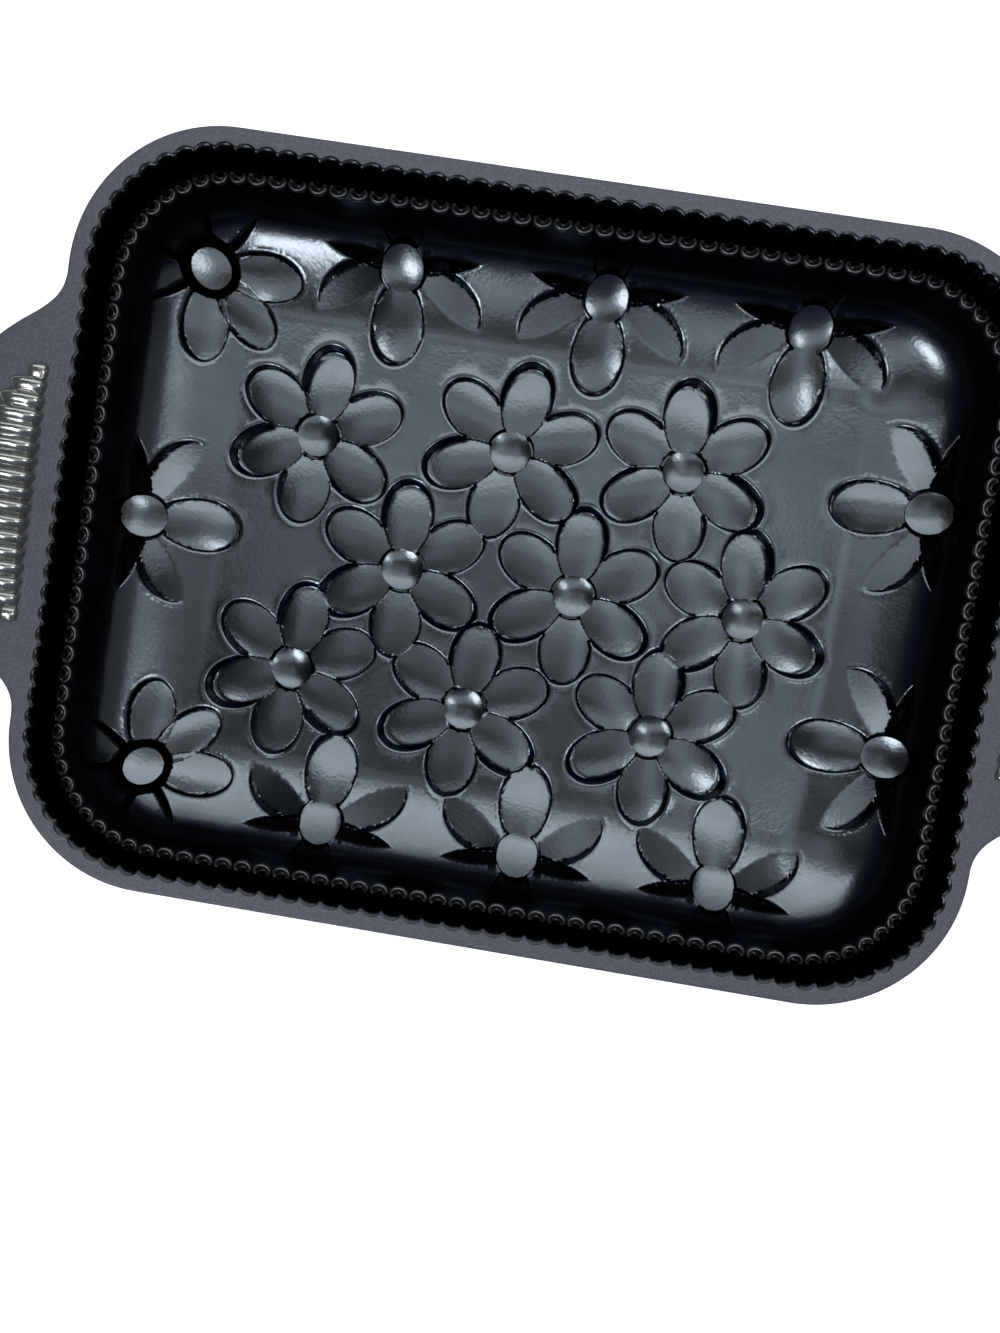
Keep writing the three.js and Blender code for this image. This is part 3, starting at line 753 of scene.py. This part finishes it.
# Ribbed grips
def grip_piece(side, material):
    """A half oval of bars that step in length, each with one steep flank and rounded ends."""
    ribs = round(2 * GRIP_HALF / RIB_PITCH)
    stations = ribs * RIB_STEPS
    along = np.arange(1, stations) / stations
    y = (2 * along - 1) * GRIP_HALF
    middle_of_rib = (np.floor(along * ribs) + 0.5) / ribs
    oval = np.sqrt(1 - (2 * middle_of_rib - 1) ** 2)
    across = along * ribs % 1
    front = np.sin(np.pi / 2 * np.minimum(across / RIB_CREST, 1))
    back = np.cos(np.pi / 2 * np.maximum(across - RIB_CREST, 0) / (1 - RIB_CREST))
    crest = front * back
    height = (GRIP_HIGH[2] - RIM_TOP - RIB_DEPTH) * oval + RIB_DEPTH * crest * np.sqrt(oval)
    reach = GRIP_REACH * oval * (RIB_GAP_REACH + RIB_CREST_REACH * crest)
    draw_in = RIB_PITCH * RIB_NECK * (1 - crest) * oval
    share = (1 - np.cos(np.linspace(0, np.pi, ARCH_STEPS))) / 2
    climb = np.sqrt(1 - np.clip(1 - share / GRIP_END, 0, 1) ** 2)
    fall = np.sqrt(1 - np.clip((share - 1 + GRIP_END) / GRIP_END, 0, 1) ** 2)
    arch = climb * fall
    x = GRIP_LOW[0] + draw_in[:, None] + (reach - draw_in)[:, None] * share[None]
    z = RIM_TOP - GRIP_SINK + height[:, None] * arch[None]
    points = np.stack([x, np.broadcast_to(y[:, None], x.shape), z], axis=-1)
    points = points.reshape(-1, 3) * (side, side, 1)
    faces = ring_faces(len(y), ARCH_STEPS)
    faces.append(tuple(reversed(range(ARCH_STEPS))))
    faces.append(tuple(range((len(y) - 1) * ARCH_STEPS, len(y) * ARCH_STEPS)))
    name = "right" if side > 0 else "left"
    piece = make_piece(f"grip_skin_{name}", points, faces, material, sharp_deg=50)
    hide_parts(f"grip_{name}")


# Materials
TONE_SPAN = (0.3, 0.7)
RIM_TONE_SPAN = (0.3, 0.72)
RELEASE_TONES = ((0.074, 0.082, 0.089), (0.086, 0.095, 0.103))
RELEASE_SLANT = (0.12, 0.15, 0.28, 1)
BEAD_TONES = ((0.002, 0.0022, 0.0026), (0.004, 0.0042, 0.0046))
RIM_TONES = ((0.034, 0.037, 0.045), (0.068, 0.073, 0.086))
GRIP_TONES = ((0.19, 0.19, 0.17), (0.26, 0.26, 0.235))


def new_material(name):
    material = bpy.data.materials.new(name)
    material.use_nodes = True
    tree = material.node_tree
    return material, tree, tree.nodes["Principled BSDF"]


def noise(tree, place, scale, detail):
    texture = tree.nodes.new("ShaderNodeTexNoise")
    texture.inputs["Scale"].default_value = scale
    texture.inputs["Detail"].default_value = detail
    tree.links.new(place.outputs["Object"], texture.inputs["Vector"])
    return texture.outputs["Fac"]


def ramp(tree, value, stops):
    node = tree.nodes.new("ShaderNodeValToRGB")
    elements = node.color_ramp.elements
    while len(elements) < len(stops):
        elements.new(1.0)
    for element, (position, colour) in zip(elements, stops):
        element.position = position
        element.color = (*colour, 1)
    tree.links.new(value, node.inputs["Fac"])
    return node.outputs["Color"]


def spread(tree, value, low, high):
    node = tree.nodes.new("ShaderNodeMapRange")
    node.inputs["To Min"].default_value = low
    node.inputs["To Max"].default_value = high
    tree.links.new(value, node.inputs["Value"])
    return node.outputs["Result"]


def bump(tree, shader, height, strength, distance, under=None):
    node = tree.nodes.new("ShaderNodeBump")
    node.inputs["Strength"].default_value = strength
    node.inputs["Distance"].default_value = distance
    tree.links.new(height, node.inputs["Height"])
    if under:
        tree.links.new(under.outputs["Normal"], node.inputs["Normal"])
    tree.links.new(node.outputs["Normal"], shader.inputs["Normal"])
    return node


def mottle(tree, shader, value, tones, span=TONE_SPAN):
    """Lets the base colour wander between two tones."""
    stops = tuple(zip(span, tones))
    tree.links.new(ramp(tree, value, stops), shader.inputs["Base Color"])


def release_coat(name, painted_shade_scale):
    """Dark glossy non-stick coat with a slight orange peel, no brighter when seen at a slant; a scale below
    1 darkens its tones into a shaded copy of the coat, which is painted shade.
    """
    material, tree, shader = new_material(name)
    place = tree.nodes.new("ShaderNodeTexCoord")
    # A scale below 1 darkens every tone of the coat: painted shade.
    tones = [tuple(painted_shade_scale * c for c in tone) for tone in RELEASE_TONES]
    mottle(tree, shader, noise(tree, place, scale=60, detail=4), tones)
    gloss = noise(tree, place, scale=140, detail=3)
    tree.links.new(spread(tree, gloss, low=0.16, high=0.25), shader.inputs["Roughness"])
    shader.inputs["Metallic"].default_value = 1.0
    shader.inputs["Specular Tint"].default_value = RELEASE_SLANT
    peel = noise(tree, place, scale=700, detail=2)
    grain = noise(tree, place, scale=3000, detail=2)
    under = bump(tree, shader, peel, strength=0.17, distance=0.0003)
    bump(tree, shader, grain, strength=0.1, distance=0.0001, under=under)
    return material


def bead_coat():
    """A darker coat on the beads, which take light on their edges."""
    material, tree, shader = new_material("bead_coat")
    place = tree.nodes.new("ShaderNodeTexCoord")
    mottle(tree, shader, noise(tree, place, scale=200, detail=3), BEAD_TONES)
    shader.inputs["Roughness"].default_value = 0.38
    shader.inputs["IOR"].default_value = 2.0
    bump(tree, shader, noise(tree, place, scale=700, detail=2), strength=0.12, distance=0.0003)
    return material


def rim_coat():
    """Satin grey coat with a fine cast grain."""
    material, tree, shader = new_material("rim_coat")
    place = tree.nodes.new("ShaderNodeTexCoord")
    grain = noise(tree, place, scale=1400, detail=3)
    mottle(tree, shader, grain, RIM_TONES, RIM_TONE_SPAN)
    shader.inputs["Roughness"].default_value = 0.5
    shader.inputs["Metallic"].default_value = 0.2
    bump(tree, shader, grain, strength=0.35, distance=0.0003)
    return material


def grip_coat():
    """Glossier grey coat on the ribs."""
    material, tree, shader = new_material("grip_coat")
    place = tree.nodes.new("ShaderNodeTexCoord")
    grain = noise(tree, place, scale=900, detail=3)
    mottle(tree, shader, grain, GRIP_TONES)
    shader.inputs["Roughness"].default_value = 0.16
    shader.inputs["Metallic"].default_value = 0.8
    bump(tree, shader, grain, strength=0.04, distance=0.0003)
    return material


def floor_material():
    material, _, shader = new_material("studio_floor")
    shader.inputs["Base Color"].default_value = (0.92, 0.92, 0.92, 1)
    shader.inputs["Roughness"].default_value = 0.9
    shader.inputs["Emission Color"].default_value = (1, 1, 1, 1)
    shader.inputs["Emission Strength"].default_value = 0.5
    return material


# Studio: a white floor in a dim room, with level panels overhead and far ones on all sides
FLOOR_SIZE = 6.0
FLOOR_DROP = 0.0003
SKY_FADE = ((0.0, (0.012, 0.018, 0.045)), (0.3, (0.035, 0.042, 0.07)), (1.0, (0.11, 0.12, 0.13)))
SURROUND = (0.9, 0.9, 0.9, 1)
LIGHT_DISTANCE = 3.0
LIGHT_TINT = (0.95, 1.0, 1.06)
NAVY_TINT = (0.55, 0.68, 1.3)

# Strips of the back wall: lean and height in degrees, and radiance
BACK_WALL = ((17, 3, 2.0), (21.5, 6, 4.0), (30.5, 12, 3.1), (41.5, 10, 2.2), (53.5, 14, 1.3))
BACK_WALL_WIDTH = 70

# Level panels overhead: spans in X and Y and height in metres, and radiance
CEILING = (
    ("ceiling", (-0.76, 0.58), (-0.33, 0.45), 2.0, 0.5),
    ("ceiling_left", (-0.85, -0.375), (-0.26, 0.24), 2.05, 0.3),
    ("ceiling_right", (0.13, 0.31), (-0.19, 0.165), 0.67, 0.85),
    ("ceiling_back", (-0.33, 0.24), (0.085, 0.165), 0.66, 1.05),
)

# Far panels: lean and size in degrees, radiance and tint
FAR_PANELS = (
    ("front_panel", (5, -25), (34, 16), 1.5, LIGHT_TINT),
    ("front_low", (0, -47), (80, 26), 0.12, NAVY_TINT),
    ("back_low", (0, 69), (80, 14), 0.06, NAVY_TINT),
    ("left_window", (-27, -35.5), (20, 14), 14.0, LIGHT_TINT),
    ("right_window", (26, -20), (8, 13), 13.0, LIGHT_TINT),
    ("right_back_window", (27, 13), (4, 6), 4.0, LIGHT_TINT),
    ("right_wall", (50, 0), (30, 60), 0.25, LIGHT_TINT),
)


def studio_floor():
    bpy.ops.mesh.primitive_plane_add(size=FLOOR_SIZE, location=(0, 0, -FLOOR_DROP))
    plane = bpy.context.object
    plane.name = "studio_floor"
    plane.data.materials.append(floor_material())


def area_light(name, width, length, radiance, tint):
    light = bpy.data.lights.new(name, "AREA")
    light.shape = "RECTANGLE"
    light.size = width
    light.size_y = length
    light.energy = radiance * math.pi * light.size * light.size_y
    light.color = tint
    holder = bpy.data.objects.new(name, light)
    bpy.context.scene.collection.objects.link(holder)
    return holder


def far_panel(name, lean, size_deg, radiance, tint):
    """A far light that faces the pan, by its lean from overhead to +X and +Y and its size in degrees."""
    toward = Vector((math.tan(math.radians(lean[0])), math.tan(math.radians(lean[1])), 1)).normalized()
    width, length = (2 * LIGHT_DISTANCE * math.tan(math.radians(size / 2)) for size in size_deg)
    holder = area_light(name, width, length, radiance, tint)
    holder.location = LIGHT_DISTANCE * toward
    holder.rotation_euler = (-toward).to_track_quat("-Z", "Y").to_euler()


def ceiling_panel(name, x_span, y_span, height, radiance):
    """A level light above the pan."""
    holder = area_light(name, x_span[1] - x_span[0], y_span[1] - y_span[0], radiance, LIGHT_TINT)
    holder.location = (sum(x_span) / 2, sum(y_span) / 2, height)


def sky():
    """A dim ceiling that fades to a dark horizon, with a pale surround behind the floor."""
    world = bpy.data.worlds.new("studio")
    bpy.context.scene.world = world
    world.use_nodes = True
    tree = world.node_tree
    ceiling = tree.nodes["Background"]
    place = tree.nodes.new("ShaderNodeTexCoord")
    flat = tree.nodes.new("ShaderNodeMapping")
    flat.inputs["Scale"].default_value = (1, 1, 0)
    tree.links.new(place.outputs["Generated"], flat.inputs["Vector"])
    fade = tree.nodes.new("ShaderNodeTexGradient")
    fade.gradient_type = "SPHERICAL"
    tree.links.new(flat.outputs["Vector"], fade.inputs["Vector"])
    tree.links.new(ramp(tree, fade.outputs["Fac"], SKY_FADE), ceiling.inputs["Color"])
    surround = tree.nodes.new("ShaderNodeBackground")
    surround.inputs["Color"].default_value = SURROUND
    path = tree.nodes.new("ShaderNodeLightPath")
    either = tree.nodes.new("ShaderNodeMixShader")
    tree.links.new(path.outputs["Is Camera Ray"], either.inputs["Fac"])
    tree.links.new(ceiling.outputs["Background"], either.inputs[1])
    tree.links.new(surround.outputs["Background"], either.inputs[2])
    tree.links.new(either.outputs["Shader"], tree.nodes["World Output"].inputs["Surface"])


# Camera, solved from the rim in the photograph: place in millimetres, its height over the rim's top
CAMERA_X = 9.2
CAMERA_Y = -11.1
CAMERA_RISE = 328.1
CAMERA_TURNS = (-3.29, 2.33, 9.03)
SENSOR = 36
FOCAL_PIXELS = 1000
PHOTO_HEIGHT = 1333
CLIP_START = 0.01


def camera():
    lens = bpy.data.cameras.new("camera")
    holder = bpy.data.objects.new("camera", lens)
    bpy.context.scene.collection.objects.link(holder)
    lens.sensor_fit = "AUTO"
    lens.sensor_width = SENSOR
    lens.lens = SENSOR * FOCAL_PIXELS / PHOTO_HEIGHT
    lens.clip_start = CLIP_START
    holder.location = np.array([CAMERA_X, CAMERA_Y, RIM_TOP + CAMERA_RISE]) * MM
    holder.rotation_euler = np.radians(CAMERA_TURNS)
    bpy.context.scene.camera = holder


camera()
sky()
studio_floor()
for lean, height, radiance in BACK_WALL:
    far_panel(f"back_wall_{lean:.0f}", (0, lean), (BACK_WALL_WIDTH, height), radiance, LIGHT_TINT)
for panel in CEILING:
    ceiling_panel(*panel)
for panel in FAR_PANELS:
    far_panel(*panel)

rim = rim_coat()
ribs = grip_coat()
tub_piece(release_coat("release_coat", painted_shade_scale=1.0), rim)
# The flutes get the coat with its tones cut to a quarter: painted shade for the deep flutes, darker than
# the same coat elsewhere.
border_piece(release_coat("flute_painted_shade_coat", painted_shade_scale=0.25), rim)
bead_piece(bead_coat())
rim_piece(rim)
for side in (1, -1):
    grip_piece(side, ribs)

scene = bpy.context.scene
scene.view_settings.view_transform = "Standard"
